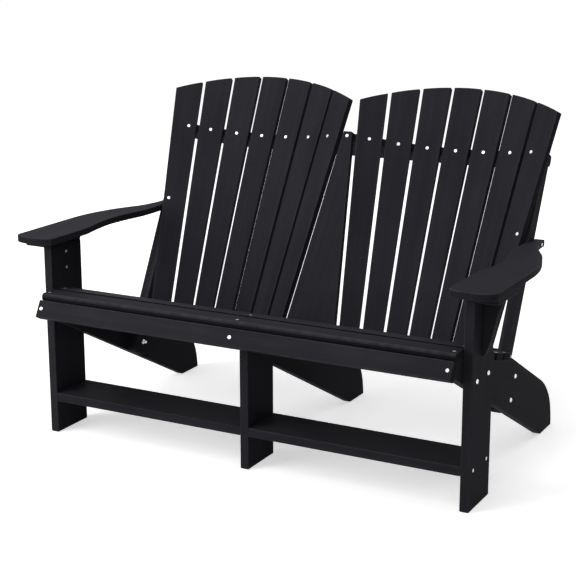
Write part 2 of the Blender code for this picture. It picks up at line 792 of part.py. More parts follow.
def bore_boards():
    """Cuts every screw, bolt and pin hole, one board at a time."""
    for name, holes in cuts.items():
        cutter_body = bmesh.new()
        for hole, point, way in holes:
            turned(cutter_body, hole, point, way)
        cutter = placed("cutter", cutter_body)
        cutter.hide_render = True
        cutter.display_type = "WIRE"
        piece = bpy.data.objects[name]
        boring = piece.modifiers.new("holes", "BOOLEAN")
        boring.operation = "DIFFERENCE"
        boring.solver = "EXACT"
        boring.object = cutter
        bpy.context.view_layer.update()
        shaped = bpy.data.meshes.new_from_object(piece.evaluated_get(bpy.context.evaluated_depsgraph_get()))
        shaped.name = name
        piece.modifiers.clear()
        piece.data = shaped
        bpy.data.objects.remove(cutter)


def centre_on_floor():
    """Moves the chair so that the origin is the middle of its footprint."""
    pieces = [piece for piece in bpy.data.objects if piece.type == "MESH"]
    depths = [vertex.co.y for piece in pieces for vertex in piece.data.vertices]
    middle = (min(depths) + max(depths)) / 2
    for piece in pieces:
        for vertex in piece.data.vertices:
            vertex.co.y -= middle
    return middle


for leftover in list(bpy.data.objects):
    bpy.data.objects.remove(leftover)
make_legs()
make_side_rails()
make_cleat()
make_foot_boards()
make_apron()
make_seat()
make_back_slats()
make_wedge()
make_upper_rail()
make_low_rail()
make_posts()
make_arms()
bore_boards()
print("moved back by", round(centre_on_floor(), 6))
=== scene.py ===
import math

import bmesh
import bpy
from mathutils import Matrix, Vector


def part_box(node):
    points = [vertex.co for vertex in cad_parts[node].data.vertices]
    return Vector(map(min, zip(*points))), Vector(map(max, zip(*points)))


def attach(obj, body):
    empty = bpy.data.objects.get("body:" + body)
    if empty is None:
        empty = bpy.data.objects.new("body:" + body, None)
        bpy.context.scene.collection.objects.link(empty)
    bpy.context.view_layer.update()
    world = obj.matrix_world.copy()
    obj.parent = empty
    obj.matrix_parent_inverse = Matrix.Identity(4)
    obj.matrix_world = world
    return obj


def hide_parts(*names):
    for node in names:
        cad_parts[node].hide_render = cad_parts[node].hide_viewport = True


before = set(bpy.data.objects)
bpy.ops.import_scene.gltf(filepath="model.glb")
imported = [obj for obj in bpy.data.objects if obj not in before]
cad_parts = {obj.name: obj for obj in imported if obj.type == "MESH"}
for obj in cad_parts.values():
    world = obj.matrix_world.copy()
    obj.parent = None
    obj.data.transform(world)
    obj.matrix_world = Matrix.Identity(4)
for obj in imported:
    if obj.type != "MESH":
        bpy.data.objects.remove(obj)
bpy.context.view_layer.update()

scene = bpy.context.scene
scene.view_settings.view_transform = "Standard"
print("frame loaded:", len(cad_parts), "pieces of CAD")


# Camera, at the photograph's place and angle

cameraValues = {
    "place": (1.8043, -3.47885, 1.4313),
    "down": 14.48,    # degrees below level
    "turn": 28.06,    # degrees round from straight ahead
    "roll": -0.086,
    "lens": 90.69,
    "sensor": 36.0,
    "near": 0.05,
    "far": 100.0,
}


def makeCamera(values):
    data = bpy.data.cameras.new("photoCamera")
    data.lens = values["lens"]
    data.sensor_width = values["sensor"]
    data.clip_start = values["near"]
    data.clip_end = values["far"]
    camera = bpy.data.objects.new("photoCamera", data)
    turned = Matrix.Rotation(math.radians(values["turn"]), 4, "Z")
    tipped = Matrix.Rotation(math.radians(90 - values["down"]), 4, "X")
    rolled = Matrix.Rotation(math.radians(values["roll"]), 4, "Z")
    camera.matrix_world = Matrix.Translation(values["place"]) @ turned @ tipped @ rolled
    scene.collection.objects.link(camera)
    scene.camera = camera


makeCamera(cameraValues)
print("camera set")


# Shader nodes: small helpers, then the groups that the finishes share

def fillInputs(tree, node, inputs):
    # Each input takes a link from another node's socket, or a plain value
    for key, value in inputs.items():
        socket = node.inputs[key]
        if isinstance(value, bpy.types.NodeSocket):
            tree.links.new(value, socket)
        else:
            socket.default_value = value


def addNode(tree, kind, inputs=None, **settings):
    made = tree.nodes.new(kind)
    for key, value in settings.items():
        setattr(made, key, value)
    fillInputs(tree, made, inputs or {})
    return made


def newGroup(name, inputs, outputs):
    tree = bpy.data.node_groups.new(name, "ShaderNodeTree")
    for way, sockets in (("INPUT", inputs), ("OUTPUT", outputs)):
        for label, kind in sockets.items():
            tree.interface.new_socket(label, in_out=way, socket_type="NodeSocket" + kind)
    return tree, tree.nodes.new("NodeGroupInput").outputs, tree.nodes.new("NodeGroupOutput")


def mathNode(tree, operation, first, second=0.5, clamp=False):
    return addNode(tree, "ShaderNodeMath", {0: first, 1: second},
                   operation=operation, use_clamp=clamp).outputs[0]


def added(tree, first, second, clamp=False):
    return mathNode(tree, "ADD", first, second, clamp)


def multiplied(tree, first, second, clamp=False):
    return mathNode(tree, "MULTIPLY", first, second, clamp)


def vectorNode(tree, operation, first, second):
    return addNode(tree, "ShaderNodeVectorMath", {0: first, 1: second},
                   operation=operation).outputs[0]


def mixColour(tree, share, first, second):
    # 0, 6 and 7 are the sockets that a Mix node has for colours
    return addNode(tree, "ShaderNodeMix", {0: share, 6: first, 7: second},
                   data_type="RGBA").outputs[2]


def rangeNode(tree, value, fromSpan, toSpan):
    return addNode(tree, "ShaderNodeMapRange", {
        "Value": value, "From Min": fromSpan[0], "From Max": fromSpan[1],
        "To Min": toSpan[0], "To Max": toSpan[1]}).outputs["Result"]


def stretchedNoise(tree, place, stretch, detail, roughness=0.55):
    # Stretch is how often it changes in a metre: on a board along it, across it and through it
    scaled = vectorNode(tree, "MULTIPLY", place, stretch)
    values = {"Vector": scaled, "Scale": 1.0, "Detail": detail, "Roughness": roughness}
    return addNode(tree, "ShaderNodeTexNoise", values, noise_dimensions="3D").outputs[0]


def bumpNode(tree, values, height):
    return addNode(tree, "ShaderNodeBump", {
        "Strength": values["bump"], "Distance": values["relief"], "Height": height}).outputs[0]


noiseSpan = (0.3, 0.7)    # nearly all of a noise lies between these
grainValues = {
    # each pattern's stretch and detail, and the lines' roughness
    "bends": ((1.6, 9.0, 9.0), 2.0),
    "streaks": ((1.1, 46.0, 46.0), 3.0),
    "lines": ((5.0, 420.0, 420.0), 4.0, 0.65),
    "clouds": ((5.0, 9.0, 9.0), 3.0),
    "flecks": ((260.0, 900.0, 900.0), 2.0),
    "sway": 0.02,                  # metres that the streaks and lines bend aside
    "broadShare": 0.55,            # of the broad streaks in the streaks' colour
    "lineShare": 0.45,             # and of the fine lines
    "colourSpan": (0.38, 0.66),
    "lineHeight": 0.8,
    "fleckHeight": 0.25,
    "streakRoughness": 0.05,
    "cloudRoughness": 0.04,
}
# Where the edges are rubbed, and where a painted highlight runs along them
wearAndHighlightValues = {
    "detail": 4.0,
    "noiseSpan": (0.35, 0.65),
    "share": (0.35, 1.0),          # of the rubbing, where the noise is lowest and highest
}
turnedValues = {
    "ringDetail": 3.0,
    "scratches": ((2400.0, 300.0, 300.0), 4.0),
    "scratchSpan": (0.45, 0.7),
    "roughness": (-0.05, 0.07),
    "tint": (0.9, 1.06),
}


def makeGrainGroup(values):
    # Plastic lumber: drawn streaks, soft clouds of tone, fine flecks, and shallow lines pressed in
    tree, given, result = newGroup(
        "lumberGrain",
        {"Place": "Vector", "Colour": "Color", "Streak Colour": "Color",
         "Streaks": "Float", "Clouds": "Float", "Flecks": "Float"},
        {"Colour": "Color", "Height": "Float", "Roughness Shift": "Float"})
    bend = multiplied(tree, stretchedNoise(tree, given["Place"], *values["bends"]), values["sway"])
    bendWay = addNode(tree, "ShaderNodeCombineXYZ", {"Y": bend}).outputs[0]
    swayed = vectorNode(tree, "ADD", given["Place"], bendWay)
    broad = stretchedNoise(tree, swayed, *values["streaks"])
    fine = stretchedNoise(tree, swayed, *values["lines"])
    cloud = stretchedNoise(tree, given["Place"], *values["clouds"])
    fleck = stretchedNoise(tree, given["Place"], *values["flecks"])

    streak = added(tree, multiplied(tree, broad, values["broadShare"]),
                   multiplied(tree, fine, values["lineShare"]))
    streak = rangeNode(tree, streak, values["colourSpan"], (0.0, 1.0))
    toned = mixColour(tree, multiplied(tree, streak, given["Streaks"], True),
                      given["Colour"], given["Streak Colour"])
    clouded = multiplied(tree, rangeNode(tree, cloud, noiseSpan, (-1.0, 1.0)), given["Clouds"])
    flecked = multiplied(tree, rangeNode(tree, fleck, noiseSpan, (-1.0, 1.0)), given["Flecks"])
    shade = added(tree, added(tree, clouded, flecked), 1.0)

    height = added(tree, multiplied(tree, fine, values["lineHeight"]),
                   multiplied(tree, fleck, values["fleckHeight"]))
    byStreak, byCloud = values["streakRoughness"], values["cloudRoughness"]
    shift = added(tree, rangeNode(tree, broad, noiseSpan, (-byStreak, byStreak)),
                  rangeNode(tree, cloud, noiseSpan, (-byCloud, byCloud)))
    fillInputs(tree, result, {
        "Colour": vectorNode(tree, "MULTIPLY", toned, shade),
        "Height": height, "Roughness Shift": shift})
    return tree


def makeWearAndHighlightGroup(values):
    # Rubbed edges, lighter also by a painted highlight along them: a mask from the piece's own edge
    # attribute, broken up by noise
    tree, given, result = newGroup(
        "edgeWearAndHighlight", {"Place": "Vector", "Edge": "Float", "Amount": "Float", "Breaks": "Float"},
        {"Mask": "Float"})
    noise = addNode(tree, "ShaderNodeTexNoise", {
        "Vector": given["Place"], "Scale": given["Breaks"], "Detail": values["detail"]}).outputs[0]
    broken = rangeNode(tree, noise, values["noiseSpan"], values["share"])
    rubbed = multiplied(tree, given["Edge"], broken)
    fillInputs(tree, result, {"Mask": multiplied(tree, rubbed, given["Amount"], True)})
    return tree


def makeTurnedGroup(values):
    # Turned metal: fine rings round the piece's own axis, with a few stray scratches
    tree, given, result = newGroup(
        "turnedMetal", {"Place": "Vector", "Rings": "Float", "Scratches": "Float"},
        {"Height": "Float", "Roughness Shift": "Float", "Tint": "Float"})
    parts = addNode(tree, "ShaderNodeSeparateXYZ", {0: given["Place"]}).outputs
    squares = [mathNode(tree, "POWER", part, 2.0) for part in parts[:2]]
    radius = mathNode(tree, "SQRT", added(tree, *squares))
    rings = addNode(tree, "ShaderNodeTexNoise", {
        "W": multiplied(tree, radius, given["Rings"]), "Scale": 1.0, "Detail": values["ringDetail"],
    }, noise_dimensions="1D").outputs[0]
    scratch = stretchedNoise(tree, given["Place"], *values["scratches"])
    marks = rangeNode(tree, scratch, values["scratchSpan"], (0.0, 1.0))
    fillInputs(tree, result, {
        "Height": added(tree, rings, multiplied(tree, marks, given["Scratches"])),
        "Roughness Shift": rangeNode(tree, scratch, noiseSpan, values["roughness"]),
        "Tint": rangeNode(tree, rings, noiseSpan, values["tint"])})
    return tree


grainGroup = makeGrainGroup(grainValues)
wearAndHighlightGroup = makeWearAndHighlightGroup(wearAndHighlightValues)
turnedGroup = makeTurnedGroup(turnedValues)


def newMaterial(name):
    made = bpy.data.materials.new(name)
    made.use_nodes = True
    return made, made.node_tree, made.node_tree.nodes["Principled BSDF"]


def attributeNode(tree, name):
    return addNode(tree, "ShaderNodeAttribute",
                   attribute_name=name, attribute_type="GEOMETRY").outputs


def lumberMaterial(name, values):
    made, tree, shader = newMaterial(name)
    place = attributeNode(tree, "grainPlace")["Vector"]
    edge = attributeNode(tree, "edgeWearAndHighlight")["Fac"]
    own = {key: values[key] for key in ("Colour", "Streak Colour", "Streaks", "Clouds", "Flecks")}
    grain = addNode(tree, "ShaderNodeGroup", {"Place": place, **own}, node_tree=grainGroup).outputs
    mask = addNode(tree, "ShaderNodeGroup", {
        "Place": place, "Edge": edge, "Amount": values["wearAndHighlight"], "Breaks": values["wearAndHighlightBreaks"],
    }, node_tree=wearAndHighlightGroup).outputs["Mask"]
    # The edges are lighter through real rubbing and through a painted highlight
    wornAndHighlighted = mixColour(tree, mask, grain["Colour"], values["wornAndHighlightColour"])
    # Painted shade, with some dust, darkens the seat's joints, the slat's nose and the apron's top
    joint = multiplied(tree, attributeNode(tree, "jointDustAndPaintedShade")["Fac"], values["jointDustAndShadeShare"])
    rough = added(tree, grain["Roughness Shift"], values["roughness"])
    rough = mathNode(tree, "SUBTRACT", rough, multiplied(tree, mask, values["wornGloss"]), True)
    fillInputs(tree, shader, {
        "Base Color": mixColour(tree, joint, wornAndHighlighted, values["jointDustAndShadeColour"]),
        "Roughness": rough, "Specular IOR Level": values["specular"],
        "Normal": bumpNode(tree, values, grain["Height"])})
    return made


def steelMaterial(name, values):
    made, tree, shader = newMaterial(name)
    turned = addNode(tree, "ShaderNodeGroup", {
        "Place": attributeNode(tree, "turnPlace")["Vector"], "Rings": values["rings"],
        "Scratches": values["scratches"]}, node_tree=turnedGroup).outputs
    fillInputs(tree, shader, {
        "Base Color": vectorNode(tree, "MULTIPLY", values["colour"], turned["Tint"]),
        "Roughness": added(tree, turned["Roughness Shift"], values["roughness"], True),
        "Metallic": 1.0, "Normal": bumpNode(tree, values, turned["Height"])})
    return made


slatFinish = {
    "Colour": (0.0207, 0.0208, 0.0252, 1),
    "Streak Colour": (0.0322, 0.0326, 0.0385, 1),
    "Streaks": 0.55,
    "Clouds": 0.10,
    "Flecks": 0.10,
    # the rubbed edges are lighter through wear and through a painted highlight
    "wearAndHighlight": 0.6,
    "wearAndHighlightBreaks": 55.0,
    "wornAndHighlightColour": (0.06, 0.06, 0.067, 1),
    "wornGloss": 0.12,    # how much smoother a rubbed edge is
    "roughness": 0.6,
    "specular": 0.01,
    "bump": 0.5,
    "relief": 0.0002,
    # the colour of the painted shade, with some dust, in the seat's joints and creases
    "jointDustAndShadeColour": (0.003, 0.003, 0.0038, 1),
    "jointDustAndShadeShare": 0.8,
}
sawnFinish = {
    **slatFinish,
    "Colour": (0.0172, 0.0172, 0.0202, 1),
    "Streak Colour": (0.027, 0.027, 0.031, 1),
    "Streaks": 0.4,
    "Flecks": 0.35,
    "roughness": 0.72,
    "bump": 0.8,
    "relief": 0.0003,
}
steelFinish = {
    "colour": (0.74, 0.74, 0.73),
    "roughness": 0.3,
    "rings": 9000.0,
    "scratches": 0.4,
    "bump": 0.25,
    "relief": 0.00005,
}
slatLumber = lumberMaterial("slatLumber", slatFinish)
frameLumber = lumberMaterial("frameLumber", {**slatFinish, "Clouds": 0.13})
sawnLumber = lumberMaterial("sawnLumber", sawnFinish)
turnedSteel = steelMaterial("turnedSteel", steelFinish)
print("finishes made")


# Meshes: helpers for boards, fasteners and floor

def meshFrom(name, shape):
    mesh = bpy.data.meshes.new(name)
    shape.to_mesh(mesh)
    shape.free()
    return mesh


def addPiece(name, shape, *finishes):
    piece = bpy.data.objects.new(name, meshFrom(name, shape))
    scene.collection.objects.link(piece)
    for finish in finishes:
        piece.data.materials.append(finish)
    return piece


def shadeSmooth(shape, sharp):
    for face in shape.faces:
        face.smooth = True
    for edge in shape.edges:
        edge.smooth = edge.calc_face_angle(0) < math.radians(sharp)


# Boards: a copy of each CAD board with its saw-eased edges rounded over and its grain laid along it

boardValues = {
    "weld": 0.00002,
    "flat": 1.0,             # degrees between faces that are one flat
    "skinStep": 50.0,        # degrees: the outside is reached over edges blunter than this
    "easedWidth": 0.006,     # a face narrower than this is an eased edge
    "round": 0.0011,
    "noseRound": 0.0009,     # on the front seat slat, whose nose the CAD already rounds
    "bluntest": 18.0,        # degrees: an edge blunter than this isn't rounded
    "segments": 3,
    "sharp": 50.0,           # degrees: an edge sharper than this stays crisp
    "sawnEnd": 0.8,          # a face turned at least this much along the board is a sawn end
    "seedStep": 7.3,         # metres between the boards' places in the grain
    "flatWeight": 100,       # how strongly the flats rule the normals beside them
}


def mergedCopy(name):
    shape = bmesh.new()
    shape.from_mesh(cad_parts[name].data)
    shape.verts.layers.float_vector.new("grainPlace")
    shape.verts.layers.float.new("edgeWearAndHighlight")
    shape.loops.layers.float.new("jointDustAndPaintedShade")
    shape.faces.layers.int.new("flatFace")
    bmesh.ops.remove_doubles(shape, verts=shape.verts, dist=boardValues["weld"])
    bmesh.ops.dissolve_limit(
        shape, angle_limit=math.radians(boardValues["flat"]), verts=shape.verts, edges=shape.edges)
    return shape


def skinFaces(shape):
    # The outside of a board, walked from its largest face
    step = math.radians(boardValues["skinStep"])
    seen = {max(shape.faces, key=lambda face: face.calc_area())}
    reached = list(seen)
    while reached:
        face = reached.pop()
        for edge in face.edges:
            for other in edge.link_faces:
                if other not in seen and edge.calc_face_angle(math.pi) < step:
                    seen.add(other)
                    reached.append(other)
    return seen


def isEased(face):
    around = sum(edge.calc_length() for edge in face.edges)
    return 2 * face.calc_area() / around < boardValues["easedWidth"]


def boardAxes(shape):
    # Along the longest edge, through the largest face
    longest = max(shape.edges, key=lambda edge: edge.calc_length())
    along = (longest.verts[1].co - longest.verts[0].co).normalized()
    widest = max(shape.faces, key=lambda face: face.calc_area()).normal.copy()
    across = widest.cross(along).normalized()
    return along, across, widest


def roundedEdges(shape, skin, offset):
    # The convex edges on the outside, on either side of an eased face
    least = math.radians(boardValues["bluntest"])
    return [edge for edge in shape.edges
            if len(edge.link_faces) == 2 and all(face in skin for face in edge.link_faces)
            and any(isEased(face) for face in edge.link_faces)
            and edge.is_convex and edge.calc_face_angle(0) > least and edge.calc_length() > offset]


def layGrain(shape, axes, seed, flats):
    along, across, through = axes
    place = shape.verts.layers.float_vector["grainPlace"]
    edge = shape.verts.layers.float["edgeWearAndHighlight"]
    for vert in shape.verts:
        vert[place] = Vector((vert.co.dot(along) + seed, vert.co.dot(across), vert.co.dot(through)))
        vert[edge] = 0.0 if any(face in flats for face in vert.link_faces) else 1.0


# Dust and painted shade in the joints of the seat: these faces are painted darker towards the
# joint's bottom, where shade falls

jointValues = {
    "slatDepth": 0.014,     # down the front slat's nose
    "rearDepth": 0.002,     # and down the slats' sides in the narrow joints behind it
    "apronDepth": 0.009,    # back over the apron's top, from its front edge
    "apronEdge": 0.002,     # the apron's front edge is this close to its highest point
    "turned": 0.6,          # a face counts when it is turned at least this much towards its joint
}


def paintJointDustAndShade(name, shape, axes):
    across, through = axes[1:]
    layer = shape.loops.layers.float["jointDustAndPaintedShade"]
    if name == "front_apron":
        high = max(vert.co.z for vert in shape.verts) - jointValues["apronEdge"]
        front = min(vert.co.y for vert in shape.verts if vert.co.z > high)
        for face in shape.faces:
            if face.normal.z > jointValues["turned"]:
                for loop in face.loops:
                    loop[layer] = min(1.0, (loop.vert.co.y - front) / jointValues["apronDepth"])
    elif name.startswith("seat_slat"):
        up = through if through.z > 0 else -through
        top = max(vert.co.dot(up) for vert in shape.verts)
        for face in shape.faces:
            if abs(face.normal.dot(across)) > jointValues["turned"]:
                nose = name == "seat_slat_1" and face.normal.y < 0
                depth = jointValues["slatDepth" if nose else "rearDepth"]
                for loop in face.loops:
                    loop[layer] = min(1.0, (top - loop.vert.co.dot(up)) / depth)


def dressBoard(name, shape, seed, lumber):
    offset = boardValues["noseRound" if name == "seat_slat_1" else "round"]
    weld = boardValues["weld"]
    axes = boardAxes(shape)
    skin = skinFaces(shape)
    edges = roundedEdges(shape, skin, offset)
    keep = shape.faces.layers.int["flatFace"]
    for face in shape.faces:
        face[keep] = int(not isEased(face) or face not in skin)
    bmesh.ops.bevel(
        shape, geom=edges, offset=offset, segments=boardValues["segments"], profile=0.5,
        affect="EDGES", clamp_overlap=True, material=-1, loop_slide=True)
    bmesh.ops.remove_doubles(shape, verts=shape.verts, dist=weld)
    bmesh.ops.dissolve_degenerate(shape, edges=shape.edges, dist=weld)
    openEdges = sum(not edge.is_manifold for edge in shape.edges)
    if openEdges:
        print(name, "has", openEdges, "open edges")
    flats = {face for face in shape.faces if face[keep] == 1 and not isEased(face)}
    layGrain(shape, axes, seed * boardValues["seedStep"], flats)
    paintJointDustAndShade(name, shape, axes)
    shadeSmooth(shape, boardValues["sharp"])
    for face in shape.faces:
        face.material_index = int(abs(face.normal.dot(axes[0])) > boardValues["sawnEnd"])
    shape.faces.layers.int.remove(shape.faces.layers.int["flatFace"])
    piece = addPiece(name + "_board", shape, lumber, sawnLumber)
    weighted = piece.modifiers.new("evenNormals", "WEIGHTED_NORMAL")
    weighted.keep_sharp = True
    weighted.weight = boardValues["flatWeight"]
    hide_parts(name)
    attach(piece, "root")
    return piece


# Fasteners: flat-headed screws in every countersunk hole of the boards

screwValues = {
    "sides": 24,
    "head": 0.0045,
    "proud": 0.00022,
    "edge": 0.00012,
    "seat": 0.00003,          # the head's rim ends this far above the board
    "neck": 0.0039,
    "neckTaper": 0.0001,
    "neckDepth": 0.0006,
    "cone": 0.0030,
    "shank": 0.0020,
    "point": 0.006,
    "tip": 0.0006,
    "socket": 0.0021,         # middle radius of the star-shaped socket
    "lobes": 6,
    "lobe": 0.00036,
    "lip": 0.0003,
    "deep": 0.0019,
    "taper": 0.93,            # the socket's width at its bottom, as a share of its width at the top
    "pit": 0.0004,            # below the socket's bottom
    "pitShare": 0.45,
    "holeRadius": 0.0043,     # of the countersinks in the CAD boards
    "holeSides": 8,
    "holeSlack": 0.00006,     # a side of a countersink is this close to its reckoned length
    "holeFlat": 0.999,        # a countersink opens in a face turned this nearly along its axis
    "footLevel": 0.2,         # screws lower than this in the outer legs hold the foot boards
    "sharp": 35.0,            # degrees: edges sharper than this stay crisp, on bolts and nuts too
}


def ringBeside(shape, edges):
    # Extrudes a ring of edges, and gives the new ring's corners and edges
    made = bmesh.ops.extrude_edge_only(shape, edges=edges)["geom"]
    return ([part for part in made if isinstance(part, bmesh.types.BMVert)],
            [part for part in made if isinstance(part, bmesh.types.BMEdge)])


def grownRings(shape, edges, profile):
    # Takes a ring of edges through (radius, height) steps, all round the Z axis
    for radius, z in profile:
        verts, edges = ringBeside(shape, edges)
        for vert in verts:
            flat = Vector((vert.co.x, vert.co.y)).normalized() * radius
            vert.co = Vector((flat.x, flat.y, z))
    return edges


def sinkSocket(shape, edges, steps):
    # Takes a rim down through (share of the last width, height) steps, and closes the bottom
    for share, z in steps:
        verts, edges = ringBeside(shape, edges)
        for vert in verts:
            vert.co.x *= share
            vert.co.y *= share
            vert.co.z = z
    bmesh.ops.contextual_create(shape, geom=edges)


def circleShape(sides, radius):
    shape = bmesh.new()
    bmesh.ops.create_circle(shape, segments=sides, radius=radius, cap_ends=False)
    return shape, shape.edges[:]


def screwPattern(values, length):
    # Head uppermost, its cone starting at z 0, with the star-shaped socket sunk in its middle
    shape, rim = circleShape(values["sides"], values["socket"])
    for vert in shape.verts:
        turn = math.atan2(vert.co.y, vert.co.x)
        vert.co *= 1 + values["lobe"] / values["socket"] * math.cos(values["lobes"] * turn)
    head, proud, edge, neck = values["head"], values["proud"], values["edge"], values["neck"]
    bmesh.ops.translate(shape, verts=shape.verts, vec=(0, 0, proud))
    last = grownRings(shape, rim, (
        (head - edge, proud), (head, proud - edge), (neck, values["seat"]),
        (neck - values["neckTaper"], -values["neckDepth"]), (values["shank"], -values["cone"]),
        (values["shank"], values["point"] - length), (values["tip"], -length)))
    bmesh.ops.contextual_create(shape, geom=last)
    sinkSocket(shape, rim, (
        (1.0, proud - values["lip"]), (values["taper"], -values["deep"]),
        (values["pitShare"], -values["deep"] - values["pit"])))
    bmesh.ops.recalc_face_normals(shape, faces=shape.faces)
    return meshFrom("screwPattern", shape)


def ringsOf(edges):
    # Sorts loose edges into the rings that they join up in
    left = dict.fromkeys(edges)
    while left:
        ring = [left.popitem()[0]]
        for edge in ring:
            for other in [other for vert in edge.verts for other in vert.link_edges]:
                if other in left:
                    del left[other]
                    ring.append(other)
        yield ring


def rimsIn(shape, values):
    # Middles and outward directions of the countersinks that open in a flat of the board
    sides = values["holeSides"]
    length = 2 * values["holeRadius"] * math.sin(math.pi / sides)
    found = []
    for ring in ringsOf(edge for edge in shape.edges
                        if abs(edge.calc_length() - length) < values["holeSlack"]):
        verts = dict.fromkeys(vert for edge in ring for vert in edge.verts)
        if len(ring) != sides or len(verts) != sides:
            continue
        middle = sum((vert.co for vert in verts), Vector()) / sides
        first, second = [vert.co - middle for vert in ring[0].verts]
        axis = first.cross(second).normalized()
        flats = [face for face in ring[0].link_faces
                 if abs(face.normal.dot(axis)) > values["holeFlat"]]
        if flats:
            found.append((middle, flats[0].normal.copy()))
    return found


def standing(point, outward):
    # Turns +Z to the outward direction and moves to the point
    return Matrix.Translation(point) @ outward.to_track_quat("Z", "Y").to_matrix().to_4x4()


def placedFasteners(name, pattern, places, replaced=()):
    group = bmesh.new()
    layer = group.verts.layers.float_vector.new("turnPlace")
    for place in places:
        before = len(group.verts)
        group.from_mesh(pattern)
        group.verts.ensure_lookup_table()
        fresh = group.verts[before:]
        for vert in fresh:
            vert[layer] = vert.co.copy()
        bmesh.ops.transform(group, matrix=place, verts=fresh)
    shadeSmooth(group, screwValues["sharp"])
    piece = addPiece(name, group, turnedSteel)
    if replaced:
        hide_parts(*replaced)
    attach(piece, "root")
    return piece


screwFamilies = {
    # piece: (boards whose countersinks it fills, screw length)
    "back_slat_screws": (("back_slat", "centre_wedge_slat"), 0.041),
    "seat_screws": (("seat_slat",), 0.041),
    "apron_screws": (("front_apron",), 0.041),
    "gusset_screws": (("left_leg", "right_leg"), 0.046),
    "foot_board_screws": (("left_leg", "right_leg"), 0.054),
    "plate_screws": (("left_arm_plate", "right_arm_plate"), 0.031),
    "rail_screws": (("upper_back_rail", "lower_back_rail"), 0.054),
    "post_screws": (("left_back_post", "right_back_post"), 0.054),
    "cleat_screws": (("centre_leg_cleat",), 0.038),
    "arm_screws": (("left_arm", "right_arm"), 0.045),
}


def familyOf(name, point):
    kind = name.rstrip("_0123456789")
    for family, (boards, length) in screwFamilies.items():
        if kind in boards:
            isLow = point.z < screwValues["footLevel"]
            return "foot_board_screws" if family == "gusset_screws" and isLow else family
    return None


def makeBoards():
    sunk = {family: [] for family in screwFamilies}
    boards = sorted(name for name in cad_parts
                    if not name.endswith(("_bolt", "_nut", "_screw")))
    for seed, name in enumerate(boards):
        shape = mergedCopy(name)
        for point, outward in rimsIn(shape, screwValues):
            family = familyOf(name, point)
            if family:
                sunk[family].append(standing(point, outward))
        dressBoard(name, shape, seed, slatLumber if "slat" in name else frameLumber)
    return sunk


sunkPlaces = makeBoards()
print("boards dressed")
for family, places in sunkPlaces.items():
    replaced = ("left_arm_screw", "right_arm_screw") if family == "arm_screws" else ()
    placedFasteners(family, screwPattern(screwValues, screwFamilies[family][1]), places, replaced)
    print(family, len(places))


# Toe screws, driven up askew from under the foot boards into the middle leg

toeValues = {
    "length": 0.038,
    "sunk": 0.0022,
    "reach": 0.0173,    # from the foot board's inner end to the screw's head
    "inset": 0.024,
    "spread": 0.45,     # one board's screws stand between the other's
}


def toePlaces(values):
    places = []
    for side, name in ((-1, "left_foot_board"), (1, "right_foot_board")):
        low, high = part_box(name)
        inner = high.x if side < 0 else low.x
        inset = (1 + side * values["spread"]) * values["inset"]
        way = Vector((-side, 0, 1)).normalized()
        for y in (low.y + inset, high.y - inset):
            point = Vector((inner + side * values["reach"], y, low.z))
            places.append(standing(point + way * values["sunk"], -way))
    return places


placedFasteners("toe_screws", screwPattern(screwValues, toeValues["length"]), toePlaces(toeValues))


# Bolts and nuts, on the CAD ones

boltValues = {
    "sides": 32,
    "head": 0.0062,
    "tall": 0.0036,
    "crown": 0.0028,      # radius of the flat round the socket
    "domeSteps": 6,
    "domeTurn": 72.0,     # degrees of a circle that the dome goes through
    "rim": 0.18,          # how tall the dome's rim is, as a share of the head
    "edge": 0.0003,
    "seat": 0.0002,       # the head's underside is this far above the board
    "socket": 0.0020,
    "corner": 1.1,        # how far out the socket's corners are, as a share of its radius
    "lip": 0.0003,
    "deep": 0.0022,
    "taper": 0.97,
    "shank": 0.0037,
    "thread": 0.00034,    # depth of the thread, cut on the last part of the shank
    "pitch": 0.00125,
    "threads": 10,
    "tip": 0.0004,
}
nutValues = {
    "sides": 36,
    "acrossFlats": 0.0128,
    "tall": 0.0055,
    "hole": 0.0038,
    "chamfer": 0.0007,
    "weld": 0.00001,
}


def hexReach(vert):
    # How much further out a hexagon is at this corner than in the middle of its side
    sixth = math.atan2(vert.co.y, vert.co.x) % (math.pi / 3) - math.pi / 6
    return 1 / math.cos(sixth)


def domeRings(values):
    # The head's profile from the flat round its socket to its seat on the board
    crown, head, rim = values["crown"], values["head"], values["rim"]
    whole = math.radians(values["domeTurn"])
    dome = []
    for step in range(values["domeSteps"] + 1):
        share = step / values["domeSteps"]
        outward = math.sin(share * whole) / math.sin(whole)
        upward = rim + (1 - rim) * math.cos(share * math.pi / 2)
        dome.append((crown + (head - crown) * outward, values["tall"] * upward))
    return dome + [(head, values["seat"] + values["edge"]), (head - values["edge"], values["seat"])]


def threadRings(values, length):
    # The shank's profile from the head to its end, with the thread cut as plain rings
    shank, root = values["shank"], values["shank"] - values["thread"]
    start = values["threads"] * values["pitch"] - length
    rings = [(shank, values["seat"])]
    for step in range(values["threads"]):
        z = start - step * values["pitch"]
        rings += [(shank, z), (root, z - values["pitch"] / 2)]
    return rings + [(root, values["tip"] - length), (root - values["thread"], -length)]


def boltPattern(values, length):
    # Domed head with a six-sided socket, and a shank threaded at its end
    shape, rim = circleShape(values["sides"], values["socket"])
    for vert in shape.verts:
        vert.co *= math.cos(math.pi / 6) * hexReach(vert) * values["corner"]
    bmesh.ops.translate(shape, verts=shape.verts, vec=(0, 0, values["tall"]))
    last = grownRings(shape, rim, domeRings(values) + threadRings(values, length))
    bmesh.ops.contextual_create(shape, geom=last)
    sinkSocket(shape, rim, [
        (values["taper"], values["tall"] - depth) for depth in (values["lip"], values["deep"])])
    bmesh.ops.recalc_face_normals(shape, faces=shape.faces)
    return meshFrom("boltPattern", shape)


